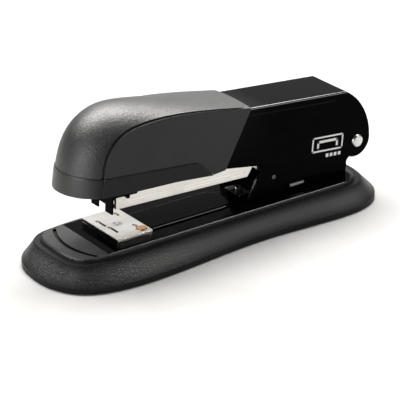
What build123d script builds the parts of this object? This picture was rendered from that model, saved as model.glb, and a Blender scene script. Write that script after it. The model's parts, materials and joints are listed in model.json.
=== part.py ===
from build123d import *
import os
from math import cos, exp, radians, sin

# Half-strip desk stapler. Millimetres. X runs across it, Y along it with the nose at -Y,
# Z up. The origin is at the bottom centre of the shoe.

# ---- base ----
SHOE_LENGTH = 160.0
SHOE_HALF = 27.0          # widest, towards the nose
SHOE_WAIST = 22.9         # narrowest, just behind the middle
SHOE_REAR_HALF = 24.2
WIDEST_Y = -38.0
WAIST_Y = 12.0
REAR_WIDEST_Y = 46.0
NOSE_POWERS = (0.88, 0.56)    # how square the plan is at the nose, across and along
REAR_POWERS = (0.98, 0.575)
OUTLINE_STEP = 18         # degrees between points of the plan's curve
RIM_SQUARE = (0.62, 0.82)  # the rim's corners are tighter than the foot's, nose and rear
SHOE_WALL = 2.5
SHOE_BOTTOM = 0.3         # the shoe stands this high on its pads
LIP_TOP = 2.6
PLATEAU_TOP = 9.5
RIM_TOP = 11.0
RIM_ROUND = 0.5
CAVITY_TOP = 7.4
PLATE_TOP = 11.0
SHEET = 1.2               # base plate, bracket and arm steel
PLATE_HALF = 16.4
PLATE_FRONT = -56.5
PLATE_REAR = 65.8
PLATE_CORNER = 8.0        # its two rear corners are rounded
PRESS_SIZE = (16.4, 42.0)  # pad pressed up in the plate
PRESS_Y = -11.5
FOOT_R = 4.8
FOOT_X = 14.0
FOOT_Y = (-58.0, 60.0)
SCREW_R = 1.5
SCREW_HEAD_R = 3.2
SCREW_X = 12.0
SCREW_Y = (-18.0, 40.0)
RIVET_R = 1.5
RIVET_HEAD_R = 2.5

# ---- pivot and joint angles ----
PIVOT_Y = 68.15
PIVOT_Z = 25.3
PIN_R = 2.0
BORE_R = 2.06
MAG_TILT = 2.19           # the magazine's front is this much up at rest
STROKE = 3.9              # the arm's further travel that drives a staple
DRIVE_TILT = MAG_TILT + STROKE / 2

# ---- hinge bracket ----
EAR_OUT = 9.8
EAR_IN = 8.8
BRACKET_FRONT = 14.5
BRACKET_REAR = 64.0
STOP_PIN_Y = 26.8
STOP_PIN_Z = 19.2
STOP_PIN_R = 0.9

# ---- anvil ----
ANVIL_Y = -42.05
ANVIL_WIDTH = 25.7
ANVIL_LENGTH = 16.5
ANVIL_TOP = 13.7
ANVIL_SHEET = 1.2
SEAT_TOP = 12.1
GROOVE_OFFSET = 4.7
STUD_CLEAR_R = 2.1
INDEX_X = 8.9
INDEX_Y = ANVIL_Y + 5.4
INDEX_R = 1.2
BUTTON_R = 6.5
BUTTON_BOTTOM = 2.0

# ---- magazine, in its own frame: u back along it from the pivot, w up ----
MAG_HALF = 7.25
MAG_SHEET = 0.75
MAG_BOTTOM = -6.0
MAG_TOP = 3.5
MAG_FRONT = -115.2
FLOOR_TOP = MAG_BOTTOM + 0.8
FLOOR_REAR = -52.5
WALL_BOTTOM = -1.7        # lower edge of the walls behind the floor
NOSE_BACK = -116.25       # the slot for one staple lies between this and MAG_FRONT
NOSE_SHEET = 0.85
NOSE_BOTTOM = -8.0
CROWN_TOP = FLOOR_TOP + 6.55
RAIL_TOP = CROWN_TOP - 0.75
STRIP_REAR = -95.05
PUSHER_LENGTH = 8.0
STRIP_HALF = 6.35
RAIL_HALF = 5.6
ROD_R = 1.0
ROD_W = -2.0
ROD_ANCHOR = -47.3
ROLLER_U = -22.0
ROLLER_W = 0.4
ROLLER_R = 2.0

# ---- arm ----
ARM_HALF = 11.25
ARM_FRONT_HALF = 10.5     # the arm is joggled in under the grip
ROOF_W = 19.0             # top of the arm's roof under the grip, in the drive frame
ARM_FRONT_U = -118.5
LEAF_RIVET_U = (-101.0, -92.0)
SMALL_RIVET_R = 1.4
SMALL_HEAD_R = 2.3

# ---- grip ----
GRIP_WALL = 1.4
GRIP_REAR_HALF = 12.0
GRIP_NOSE_HALF = 13.5
GRIP_REAR_Y = 13.6
GRIP_NOSE_Y = -57.3
NOSE_CROWN = 11.8         # the wrapped face stands this far out from the crease
REAR_CROWN = 0.4
CROWN_EASE = 0.42         # where along the crease it is halfway between the two
CROWN_RATE = 7.5
BAND_PROUD = 0.35
GRIP_STATIONS = 22
# the edge between the grip's flat side and its wrapped front and top, as (y, z)
CREASE = (
    (-57.3, 31.0),
    (-56.2, 41.8),
    (-53.1, 51.2),
    (-46.5, 56.4),
    (-39.0, 58.0),
    (-14.0, 57.2),
    (GRIP_REAR_Y, 52.5),
)

os.makedirs("parts", exist_ok=True)


def tilted_side(angle):
    """A plane through the pivot, seen from +X: local x back along the part, local y up."""
    back = (0, cos(radians(angle)), -sin(radians(angle)))
    return Plane(origin=(0, PIVOT_Y, PIVOT_Z), x_dir=back, z_dir=(1, 0, 0))


MAG = tilted_side(MAG_TILT)
DRIVE = tilted_side(DRIVE_TILT)


def at(frame, u, w, x=0):
    """A point given in a tilted frame, in the stapler's own frame."""
    return frame.from_local_coords(Vector(u, w, x))


def facing_front(frame, u, w=0):
    """A plane across the part: local x is X, local y is up, its normal points to the nose."""
    return Plane(origin=at(frame, u, w), x_dir=(1, 0, 0), z_dir=-frame.x_dir)


def facing_up(frame, u, w):
    """A plane that lies on the part: local x is X, its normal points up out of it."""
    return Plane(origin=at(frame, u, w), x_dir=(1, 0, 0), z_dir=frame.y_dir)


def box_profile(frame, u0, u1, w0, w1):
    """A rectangle on a side plane, from u0 to u1 and w0 to w1."""
    with BuildSketch(frame) as profile:
        with Locations(((u0 + u1) / 2, (w0 + w1) / 2)):
            Rectangle(u1 - u0, w1 - w0)
    return profile.sketch


def outline(z, front, rear, half_front, half_waist, half_rear, square=(1, 1)):
    """The shoe's plan: full round nose, waisted sides and squarer rear, as one closed curve."""
    right = []
    for degrees in range(90, -1, -OUTLINE_STEP):
        turn = radians(degrees)
        reach = (WIDEST_Y - front) * sin(turn) ** (NOSE_POWERS[1] * square[0])
        right.append((half_front * cos(turn) ** (NOSE_POWERS[0] * square[0]), WIDEST_Y - reach))
    right.append((half_waist, WAIST_Y))
    for degrees in range(0, 91, OUTLINE_STEP):
        turn = radians(degrees)
        reach = (rear - REAR_WIDEST_Y) * sin(turn) ** (REAR_POWERS[1] * square[1])
        right.append((half_rear * cos(turn) ** (REAR_POWERS[0] * square[1]), REAR_WIDEST_Y + reach))
    left = [(-x, y) for x, y in right[-2:0:-1]]
    with BuildSketch(Plane.XY.offset(z)) as plan:
        with BuildLine():
            Spline(*right, *left, periodic=True)
        make_face()
    return plan.sketch


def coil(start, direction, height, radius, wire, turns):
    """An open coil spring of round wire, from start along direction."""
    base = Plane(origin=start, z_dir=direction)
    path = base * Helix(pitch=height / turns, height=height, radius=radius)
    section = Plane(origin=path @ 0, z_dir=path % 0) * Circle(wire / 2)
    return sweep(section, path=path, is_frenet=True)


# ---------------------------------------------------------------- base_shoe
half_length = SHOE_LENGTH / 2
foot_places = [(side * FOOT_X, y) for y in FOOT_Y for side in (-1, 1)]
screw_places = [(side * SCREW_X, y) for y in SCREW_Y for side in (-1, 1)]
front_rivets = [(-3.2, 19.5), (3.2, 19.5)]
rear_rivets = [(-5.5, 57.0), (5.5, 57.0)]

shoe_halves = (SHOE_HALF, SHOE_WAIST, SHOE_REAR_HALF)
cavity_halves = [half - SHOE_WALL for half in shoe_halves]
cavity_end = half_length - SHOE_WALL
foot_print = outline(SHOE_BOTTOM, -half_length, half_length, *shoe_halves)
skirt_foot = outline(LIP_TOP, -half_length, half_length, *shoe_halves)
skirt_head = outline(PLATEAU_TOP, -73.3, 72.6, 19.6, 18.9, 19.0, RIM_SQUARE)
rim_foot = outline(PLATEAU_TOP, -71.3, 69.4, 17.9, 17.5, 17.5, RIM_SQUARE)
rim_shoulder = outline(RIM_TOP - RIM_ROUND, -70.7, 69.2, 17.7, 17.3, 17.3, RIM_SQUARE)
rim_head = outline(RIM_TOP, -70.0, 68.6, 17.2, 16.9, 16.9, RIM_SQUARE)
cavity_foot = outline(SHOE_BOTTOM, -cavity_end, cavity_end, *cavity_halves)
cavity_head = outline(CAVITY_TOP, -70.5, 71.0, 17.6, 17.2, 17.4)

with BuildPart() as base_shoe:
    extrude(foot_print, amount=LIP_TOP - SHOE_BOTTOM)
    loft([skirt_foot, skirt_head])
    loft([rim_foot, rim_shoulder])
    loft([rim_shoulder, rim_head])
    loft([cavity_foot, cavity_head], mode=Mode.SUBTRACT)
    # posts for the pads, down inside the cavity
    with BuildSketch(Plane.XY.offset(1.4)):
        with Locations(*foot_places):
            Circle(FOOT_R + 0.7)
    extrude(amount=CAVITY_TOP - 1.0)
    # the steel plate's bed, open right through to the cavity only at the fasteners
    with BuildSketch(Plane.XY.offset(PLATE_TOP - SHEET)):
        with Locations((0, (PLATE_FRONT + PLATE_REAR) / 2)):
            bed = Rectangle(2 * PLATE_HALF + 0.1, PLATE_REAR - PLATE_FRONT + 0.1)
        fillet(bed.vertices().group_by(Axis.Y)[-1], PLATE_CORNER)
    extrude(amount=5, mode=Mode.SUBTRACT)
    # the long groove that follows the nose, just inside the rim
    with BuildSketch(Plane.XY.offset(RIM_TOP - 0.9)):
        with BuildLine():
            ThreePointArc((-15.4, -61.8), (0, -66.4), (15.4, -61.8))
            Line((15.4, -61.8), (14.9, -60.5))
            ThreePointArc((14.9, -60.5), (0, -64.7), (-14.9, -60.5))
            Line((-14.9, -60.5), (-15.4, -61.8))
        make_face()
    extrude(amount=3, mode=Mode.SUBTRACT)
    with Locations(*[(x, y, 0) for x, y in screw_places]):
        Hole(SCREW_HEAD_R - 0.5)
    with Locations((0, ANVIL_Y, 0)):
        Hole(STUD_CLEAR_R + 0.05)
    with BuildSketch(Plane.XY.offset(PLATE_TOP - SHEET - 1.3)):
        with Locations(*front_rivets, *rear_rivets):
            Circle(RIVET_HEAD_R + 0.4)
    extrude(amount=3, mode=Mode.SUBTRACT)

# ---------------------------------------------------------------- foot_pads
with BuildPart() as foot_pads:
    with BuildSketch(Plane.XY):
        with Locations(*foot_places):
            Circle(FOOT_R)
    extrude(amount=1.4)
    chamfer(foot_pads.edges().group_by(Axis.Z)[0], 0.3)

# ---------------------------------------------------------------- base_plate
with BuildPart() as base_plate:
    with BuildSketch(Plane.XY.offset(PLATE_TOP - SHEET)) as plate_plan:
        with Locations((0, (PLATE_FRONT + PLATE_REAR) / 2)):
            Rectangle(2 * PLATE_HALF, PLATE_REAR - PLATE_FRONT)
        fillet(plate_plan.vertices().group_by(Axis.Y)[-1], PLATE_CORNER)
    extrude(amount=SHEET)
    fillet(base_plate.edges().group_by(Axis.Z)[-1], 0.4)
    # pressed-up pad behind the anvil, hollow below
    with BuildSketch(Plane.XY.offset(PLATE_TOP)) as pad_plan:
        with Locations((0, PRESS_Y)):
            Rectangle(*PRESS_SIZE)
        fillet(pad_plan.vertices().group_by(Axis.Y)[-1], 7)
        fillet(pad_plan.vertices().group_by(Axis.Y)[0], 2)
    extrude(amount=1.0)
    fillet(base_plate.faces().sort_by(Axis.Z)[-1].edges(), 0.8)
    with BuildSketch(Plane.XY.offset(PLATE_TOP - SHEET)):
        with Locations((0, PRESS_Y)):
            RectangleRounded(PRESS_SIZE[0] - 2.8, PRESS_SIZE[1] - 3.0, 4)
    extrude(amount=0.9, mode=Mode.SUBTRACT)
    # threaded collars for the screws
    with BuildSketch(Plane.XY.offset(CAVITY_TOP)):
        with Locations(*screw_places):
            Circle(SCREW_R + 1.1)
    extrude(amount=PLATE_TOP - SHEET - CAVITY_TOP)
    with BuildSketch(Plane.XY.offset(CAVITY_TOP)):
        with Locations(*screw_places):
            Circle(SCREW_R)
    extrude(amount=2.6, mode=Mode.SUBTRACT)
    with Locations(*[(x, y, PLATE_TOP) for x, y in front_rivets + rear_rivets]):
        Hole(RIVET_R)
    with Locations((0, ANVIL_Y, PLATE_TOP)):
        Hole(STUD_CLEAR_R)

# ---------------------------------------------------------------- shoe_screws
with BuildPart() as shoe_screws:
    with BuildSketch(Plane.XY.offset(CAVITY_TOP - 1.8)):
        with Locations(*screw_places):
            Circle(SCREW_HEAD_R)
    extrude(amount=1.8)
    with BuildSketch(Plane.XY.offset(CAVITY_TOP)):
        with Locations(*screw_places):
            Circle(SCREW_R)
    extrude(amount=2.5)
    fillet(shoe_screws.edges().group_by(Axis.Z)[0], 0.6)
    # cross recess
    with BuildSketch(Plane.XY.offset(CAVITY_TOP - 1.8)):
        with Locations(*screw_places):
            Rectangle(SCREW_HEAD_R, 0.7)
            Rectangle(0.7, SCREW_HEAD_R)
    extrude(amount=1.0, mode=Mode.SUBTRACT)

# ---------------------------------------------------------------- hinge_bracket
bracket_floor_top = PLATE_TOP + SHEET
with BuildPart() as hinge_bracket:
    with BuildSketch(Plane.YZ):
        with BuildLine():
            Polyline(
                (BRACKET_FRONT, PLATE_TOP),
                (BRACKET_FRONT, 13.0),
                (20.6, 24.6),
                (24.5, 27.6),
                (PIVOT_Y - 1, PIVOT_Z + 5.3),
                (PIVOT_Y, PIVOT_Z),
                (PIVOT_Y, 20.4),
                (64.4, 17.0),
                (BRACKET_REAR, PLATE_TOP),
                close=True,
            )
        make_face()
        with Locations((PIVOT_Y, PIVOT_Z)):
            Circle(5.3)
    extrude(amount=EAR_OUT, both=True)
    with BuildSketch(Plane.YZ):
        with Locations((45, bracket_floor_top + 20)):
            Rectangle(100, 40)
    extrude(amount=EAR_IN, both=True, mode=Mode.SUBTRACT)
    # windows for the tie strip
    with BuildSketch(Plane.YZ):
        with Locations((38.5, 13.6)):
            Rectangle(7.6, 1.3)
    extrude(amount=EAR_OUT + 1, both=True, mode=Mode.SUBTRACT)
    with BuildSketch(Plane.YZ):
        with Locations((PIVOT_Y, PIVOT_Z)):
            Circle(BORE_R)
        with Locations((STOP_PIN_Y, STOP_PIN_Z)):
            Circle(STOP_PIN_R)
    extrude(amount=EAR_OUT + 1, both=True, mode=Mode.SUBTRACT)
    with Locations(*[(x, y, bracket_floor_top) for x, y in front_rivets + rear_rivets]):
        Hole(RIVET_R)

# ---------------------------------------------------------------- tie_strip
with BuildPart() as tie_strip:
    with BuildSketch(Plane.XY.offset(13.05)):
        with Locations((0, 38.5)):
            Rectangle(21.2, 7.4)
    extrude(amount=1.1)
    fillet(tie_strip.edges().filter_by(Axis.Z), 1.0)

# ---------------------------------------------------------------- return_spring
leaf = 0.6
roller_place = at(MAG, ROLLER_U, ROLLER_W)
roller_foot = roller_place.Z - ROLLER_R - leaf / 2
with BuildPart() as return_spring:
    with BuildSketch(Plane.YZ):
        with BuildLine():
            flat = Line((13.2, bracket_floor_top + leaf / 2), (23.5, bracket_floor_top + leaf / 2))
            Spline(
                flat @ 1,
                (34.0, 16.8),
                (roller_place.Y - 1.0, roller_foot - 0.15),
                (roller_place.Y + 4.0, roller_foot - 1.4),
                tangents=[(1, 0), (1, -0.7)],
            )
        trace(line_width=leaf)
    extrude(amount=5.0, both=True)
    with Locations(*[(x, y, bracket_floor_top + leaf) for x, y in front_rivets]):
        Hole(RIVET_R)

# ---------------------------------------------------------------- bracket_rivets
with BuildPart() as bracket_rivets:
    for places, top in ((front_rivets, bracket_floor_top + leaf), (rear_rivets, bracket_floor_top)):
        with BuildSketch(Plane.XY.offset(PLATE_TOP - SHEET)):
            with Locations(*places):
                Circle(RIVET_R)
        extrude(amount=top - PLATE_TOP + SHEET)
        with BuildSketch(Plane.XY.offset(top)):
            with Locations(*places):
                Circle(RIVET_HEAD_R)
        extrude(amount=0.9, taper=30)
        with BuildSketch(Plane.XY.offset(PLATE_TOP - SHEET - 1.0)):
            with Locations(*places):
                Circle(RIVET_HEAD_R)
        extrude(amount=1.0)

# ---------------------------------------------------------------- stop_pin
with BuildPart() as stop_pin:
    with BuildSketch(Plane.YZ):
        with Locations((STOP_PIN_Y, STOP_PIN_Z)):
            Circle(STOP_PIN_R)
    extrude(amount=9.93, both=True)

# ---------------------------------------------------------------- pivot_rivet
with BuildPart() as pivot_rivet:
    with BuildSketch(Plane.YZ):
        with Locations((PIVOT_Y, PIVOT_Z)):
            Circle(PIN_R)
    extrude(amount=ARM_HALF + 0.1, both=True)
    for side in (-1, 1):
        with BuildSketch(Plane.YZ.offset(side * (ARM_HALF + 0.06))):
            with Locations((PIVOT_Y, PIVOT_Z)):
                Circle(2.75)
        extrude(amount=side * 1.2)
    fillet(pivot_rivet.faces().filter_by(Axis.X).sort_by(Axis.X)[-1].edges(), 1.0)
    fillet(pivot_rivet.faces().filter_by(Axis.X).sort_by(Axis.X)[0].edges(), 1.0)

# ---------------------------------------------------------------- pivot_washers
with BuildPart() as pivot_washers:
    for side in (-1, 1):
        with BuildSketch(Plane.YZ.offset(side * (MAG_HALF + 0.08))):
            with Locations((PIVOT_Y, PIVOT_Z)):
                Circle(3.6)
                Circle(BORE_R, mode=Mode.SUBTRACT)
        extrude(amount=side * (EAR_IN - MAG_HALF - 0.08))

# ---------------------------------------------------------------- anvil_seat
with BuildPart() as anvil_seat:
    with BuildSketch(Plane.XY.offset(PLATE_TOP)):
        with Locations((0, ANVIL_Y)):
            RectangleRounded(ANVIL_WIDTH - 0.3, ANVIL_LENGTH - 0.3, 0.8)
    extrude(amount=SEAT_TOP - PLATE_TOP)
    with Locations((0, ANVIL_Y, SEAT_TOP)):
        Hole(STUD_CLEAR_R)

# ---------------------------------------------------------------- anvil_plate
anvil_bottom = ANVIL_TOP - ANVIL_SHEET
with BuildPart() as anvil_plate:
    with BuildSketch(Plane.XY.offset(anvil_bottom)):
        with Locations((0, ANVIL_Y)):
            RectangleRounded(ANVIL_WIDTH, ANVIL_LENGTH, 0.6)
    extrude(amount=ANVIL_SHEET)
    fillet(anvil_plate.edges().group_by(Axis.Z)[-1], 0.25)
    # clinching pair in front: each leg is turned in, side by side with the other
    with BuildSketch(Plane.XY.offset(ANVIL_TOP - 0.5)):
        with Locations((-3.7, ANVIL_Y - GROOVE_OFFSET - 0.35), (3.7, ANVIL_Y - GROOVE_OFFSET + 0.35)):
            SlotOverall(6.6, 1.5)
    extrude(amount=1, mode=Mode.SUBTRACT)
    # pinning pair behind: each leg is turned out
    with BuildSketch(Plane.XY.offset(ANVIL_TOP - 0.5)):
        with Locations((-7.4, ANVIL_Y + GROOVE_OFFSET), (5.6, ANVIL_Y + GROOVE_OFFSET)):
            SlotOverall(3.4, 1.4)
    extrude(amount=1, mode=Mode.SUBTRACT)
    with Locations((INDEX_X, INDEX_Y, ANVIL_TOP)):
        Hole(INDEX_R)
    with Locations((0, ANVIL_Y, ANVIL_TOP)):
        Hole(BORE_R)

# ---------------------------------------------------------------- index_rivet
with BuildPart() as index_rivet:
    with BuildSketch(Plane.XY.offset(anvil_bottom)):
        with Locations((INDEX_X, INDEX_Y)):
            Circle(INDEX_R)
    extrude(amount=ANVIL_SHEET)
    with BuildSketch(Plane.XY.offset(ANVIL_TOP)):
        with Locations((INDEX_X, INDEX_Y)):
            Circle(INDEX_R + 1.0)
    extrude(amount=0.35)
    fillet(index_rivet.edges().group_by(Axis.Z)[-1], 0.3)

# ---------------------------------------------------------------- anvil_stud
with BuildPart() as anvil_stud:
    with BuildSketch(Plane.XY.offset(4.0)):
        with Locations((0, ANVIL_Y)):
            Circle(PIN_R)
    extrude(amount=ANVIL_TOP + 0.02 - 4.0)
    # shoulder that carries the anvil plate above its seat
    with BuildSketch(Plane.XY.offset(SEAT_TOP + 0.05)):
        with Locations((0, ANVIL_Y)):
            Circle(3.4)
    extrude(amount=anvil_bottom - SEAT_TOP - 0.07)
    # three punch marks that spread the end of the stud
    with BuildSketch(Plane.XY.offset(ANVIL_TOP - 0.35)):
        with Locations((0, ANVIL_Y)):
            with PolarLocations(1.1, 3, start_angle=90):
                Circle(0.4)
    extrude(amount=1, mode=Mode.SUBTRACT)

# ---------------------------------------------------------------- anvil_button
with BuildPart() as anvil_button:
    with BuildSketch(Plane.XY.offset(BUTTON_BOTTOM)):
        with Locations((0, ANVIL_Y)):
            Circle(BUTTON_R)
    extrude(amount=2.0)
    fillet(anvil_button.edges().group_by(Axis.Z)[0], 0.8)
    with BuildSketch(Plane.XY.offset(BUTTON_BOTTOM)):
        with Locations((0, ANVIL_Y)):
            Circle(BUTTON_R - 2.1)
            Circle(BUTTON_R - 2.9, mode=Mode.SUBTRACT)
    extrude(amount=0.4, mode=Mode.SUBTRACT)

# ---------------------------------------------------------------- anvil_spring
anvil_spring_solid = coil((0, ANVIL_Y, 4.35), (0, 0, 1), 2.7, 3.2, 0.5, 3)
with BuildPart() as anvil_spring:
    add(anvil_spring_solid)

# ---------------------------------------------------------------- magazine
with BuildPart() as magazine:
    with BuildSketch(MAG):
        with BuildLine():
            Polyline(
                (MAG_FRONT, MAG_BOTTOM),
                (FLOOR_REAR, MAG_BOTTOM),
                (-49.8, WALL_BOTTOM),
                (-45.2, WALL_BOTTOM),
                (-44.2, -9.9),
                (-38.0, -9.9),
                (-36.6, WALL_BOTTOM),
                (0, -4.6),
                (0, 4.6),
                (-24.0, MAG_TOP),
                (MAG_FRONT, MAG_TOP),
                close=True,
            )
        make_face()
        Circle(4.6)
    extrude(amount=MAG_HALF, both=True)
    inside = box_profile(MAG, -130, 20, FLOOR_TOP, 12)
    extrude(inside, amount=MAG_HALF - MAG_SHEET, both=True, mode=Mode.SUBTRACT)
    below = box_profile(MAG, FLOOR_REAR + 0.01, 20, -20, FLOOR_TOP + 1)
    extrude(below, amount=MAG_HALF - MAG_SHEET, both=True, mode=Mode.SUBTRACT)
    with BuildSketch(MAG):
        Circle(BORE_R)
    extrude(amount=20, both=True, mode=Mode.SUBTRACT)
    # slot that the stop pin runs in
    stop = MAG.to_local_coords(Vector(0, STOP_PIN_Y, STOP_PIN_Z))
    stop_slot = box_profile(MAG, stop.X - 2.0, stop.X + 1.6, stop.Y - 1.2, stop.Y + 4.2)
    extrude(stop_slot, amount=20, both=True, mode=Mode.SUBTRACT)
    # two pressed lines along the outside of each wall
    for side in (-1, 1):
        for line_w in (-3.4, -4.5):
            with BuildSketch(facing_front(MAG, FLOOR_REAR - 1.5, line_w)):
                with Locations((side * MAG_HALF, 0)):
                    Rectangle(0.4, 0.5)
            extrude(amount=-(MAG_FRONT + 1.0 - FLOOR_REAR + 1.5), mode=Mode.SUBTRACT)

# ---------------------------------------------------------------- magazine_roller
with BuildPart() as magazine_roller:
    with BuildSketch(MAG):
        with Locations((ROLLER_U, ROLLER_W)):
            Circle(ROLLER_R)
            Circle(ROLLER_R - 0.7, mode=Mode.SUBTRACT)
    extrude(amount=MAG_HALF - MAG_SHEET, both=True)

# ---------------------------------------------------------------- nose_plate
nose_front = NOSE_BACK - NOSE_SHEET
with BuildPart() as nose_plate:
    with BuildSketch(facing_front(MAG, NOSE_BACK)):
        with BuildLine():
            Polyline(
                (-7.0, NOSE_BOTTOM),
                (-2.6, NOSE_BOTTOM),
                (-2.6, -4.8),
                (2.6, -4.8),
                (2.6, NOSE_BOTTOM),
                (7.0, NOSE_BOTTOM),
                (7.0, -0.9),
                (8.1, -0.9),
                (8.1, 3.4),
                (-8.1, 3.4),
                (-8.1, -0.9),
                (-7.0, -0.9),
                close=True,
            )
        make_face()
    extrude(amount=NOSE_SHEET)
    # wings that grip the outside of the magazine, each with a small hook
    with BuildSketch(MAG):
        with BuildLine():
            Polyline(
                (nose_front, -0.9),
                (-110.9, -0.9),
                (-110.7, -2.1),
                (-109.6, -2.1),
                (-109.4, -0.9),
                (-106.0, -0.9),
                (-106.0, 3.4),
                (nose_front, 3.4),
                close=True,
            )
        make_face()
    extrude(amount=8.1, both=True)
    between = box_profile(MAG, NOSE_BACK, -100, -12, 12)
    extrude(between, amount=MAG_HALF + 0.02, both=True, mode=Mode.SUBTRACT)
    fillet(nose_plate.edges().filter_by(Axis.X).sort_by(Axis.Z)[:4], 0.3)

# ---------------------------------------------------------------- staple_rail
with BuildPart() as staple_rail:
    rail_block = box_profile(MAG, -114.5, -53.0, FLOOR_TOP, RAIL_TOP)
    extrude(rail_block, amount=RAIL_HALF, both=True)
    trough = box_profile(MAG, -113.7, -50.0, FLOOR_TOP + 0.8, RAIL_TOP + 1)
    extrude(trough, amount=RAIL_HALF - 0.8, both=True, mode=Mode.SUBTRACT)
    with BuildSketch(facing_front(MAG, -113.0, ROD_W)):
        Circle(ROD_R)
    extrude(amount=4, mode=Mode.SUBTRACT)

# ---------------------------------------------------------------- staple_strip
with BuildPart() as staple_strip:
    strip_block = box_profile(MAG, -115.1, STRIP_REAR, FLOOR_TOP + 0.03, CROWN_TOP)
    extrude(strip_block, amount=STRIP_HALF, both=True)
    strip_inside = box_profile(MAG, -120, -90, FLOOR_TOP - 1, RAIL_TOP + 0.05)
    extrude(strip_inside, amount=STRIP_HALF - 0.6, both=True, mode=Mode.SUBTRACT)

# ---------------------------------------------------------------- pusher
pusher_front = STRIP_REAR + 0.05
pusher_rear = pusher_front + PUSHER_LENGTH
with BuildPart() as pusher:
    with BuildSketch(facing_front(MAG, pusher_rear)):
        with BuildLine():
            Polyline(
                (0, FLOOR_TOP + 1.0),
                (4.6, FLOOR_TOP + 1.0),
                (4.6, RAIL_TOP + 0.2),
                (RAIL_HALF + 0.15, RAIL_TOP + 0.2),
                (RAIL_HALF + 0.15, FLOOR_TOP + 0.3),
                (6.3, FLOOR_TOP + 0.3),
                (6.3, 2.9),
                (0, 2.9),
                close=True,
            )
        make_face()
        mirror(about=Plane.YZ)
    extrude(amount=PUSHER_LENGTH)
    with BuildSketch(facing_front(MAG, pusher_rear + 1, ROD_W)):
        Circle(ROD_R + 0.12)
    extrude(amount=PUSHER_LENGTH + 2, mode=Mode.SUBTRACT)
    # thumb rib across the top
    with BuildSketch(MAG):
        with BuildLine():
            Polyline(
                (pusher_rear - 3.2, 2.8),
                (pusher_rear, 2.8),
                (pusher_rear, 5.0),
                (pusher_rear - 1.2, 5.0),
                close=True,
            )
        make_face()
    extrude(amount=4.5, both=True)

# ---------------------------------------------------------------- pusher_rod
with BuildPart() as pusher_rod:
    with BuildSketch(facing_front(MAG, ROD_ANCHOR + 1.6, ROD_W)):
        Circle(ROD_R)
    extrude(amount=ROD_ANCHOR + 1.6 + 114.4)
    with BuildSketch(facing_front(MAG, ROD_ANCHOR + 2.2, ROD_W)):
        Circle(ROD_R + 0.6)
    extrude(amount=1.2)

# ---------------------------------------------------------------- rod_anchor
with BuildPart() as rod_anchor:
    anchor_block = box_profile(MAG, ROD_ANCHOR, ROD_ANCHOR + 1.0, -4.2, MAG_TOP - 0.2)
    extrude(anchor_block, amount=MAG_HALF - MAG_SHEET, both=True)
    with BuildSketch(facing_front(MAG, ROD_ANCHOR + 2, ROD_W)):
        Circle(ROD_R)
    extrude(amount=4, mode=Mode.SUBTRACT)

# ---------------------------------------------------------------- pusher_spring
spring_front = pusher_rear + 0.3
spring_length = ROD_ANCHOR - 0.3 - spring_front
pusher_spring_solid = coil(at(MAG, spring_front, ROD_W), MAG.x_dir, spring_length, 1.75, 0.45, 16)
with BuildPart() as pusher_spring:
    add(pusher_spring_solid)

# ---------------------------------------------------------------- arm_spring
# torsion spring round the pivot: one leg lies on the roller, the other pushes the arm's roof up
spring_wire = 0.7
spring_r = 2.9
spring_half = 4.2
spring_turns = 5
low_turn = 90.0           # where the low leg leaves the coil, in degrees round the pivot
high_turn = 203.5         # where the high leg leaves it
swept = 360 * spring_turns + low_turn - (high_turn - 360)
high_leg = 24.2
low_leg = 24.5


def round_bar(start, end, radius):
    """A straight round bar with ball ends."""
    bar = Plane(origin=start, z_dir=end - start) * Cylinder(
        radius, (end - start).length, align=(Align.CENTER, Align.CENTER, Align.MIN)
    )
    return bar + Pos(start) * Sphere(radius * 1.05) + Pos(end) * Sphere(radius)


def on_coil(turn, x):
    """A point on the spring's coil, turn degrees round the pivot."""
    return at(MAG, spring_r * cos(radians(turn)), spring_r * sin(radians(turn)), x)


coil_axis = Plane(origin=at(MAG, 0, 0, -spring_half), x_dir=MAG.y_dir, z_dir=(1, 0, 0))
coil_pitch = 2 * spring_half * 360 / swept
coil_path = coil_axis * Helix(pitch=coil_pitch, height=2 * spring_half, radius=spring_r, lefthand=True)
coil_section = Plane(origin=coil_path @ 0, z_dir=coil_path % 0) * Circle(spring_wire / 2)
arm_spring_solid = sweep(coil_section, path=coil_path, is_frenet=True)
low_start = on_coil(low_turn, -spring_half)
low_end = at(MAG, -low_leg, spring_r - 0.1, -spring_half)
high_start = on_coil(high_turn, spring_half)
leg_along = MAG.x_dir * sin(radians(high_turn)) - MAG.y_dir * cos(radians(high_turn))
high_end = high_start + leg_along * high_leg
arm_spring_solid += round_bar(low_start, low_end, spring_wire / 2)
arm_spring_solid += round_bar(high_start, high_end, spring_wire / 2)
with BuildPart() as arm_spring:
    add(arm_spring_solid)

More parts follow.
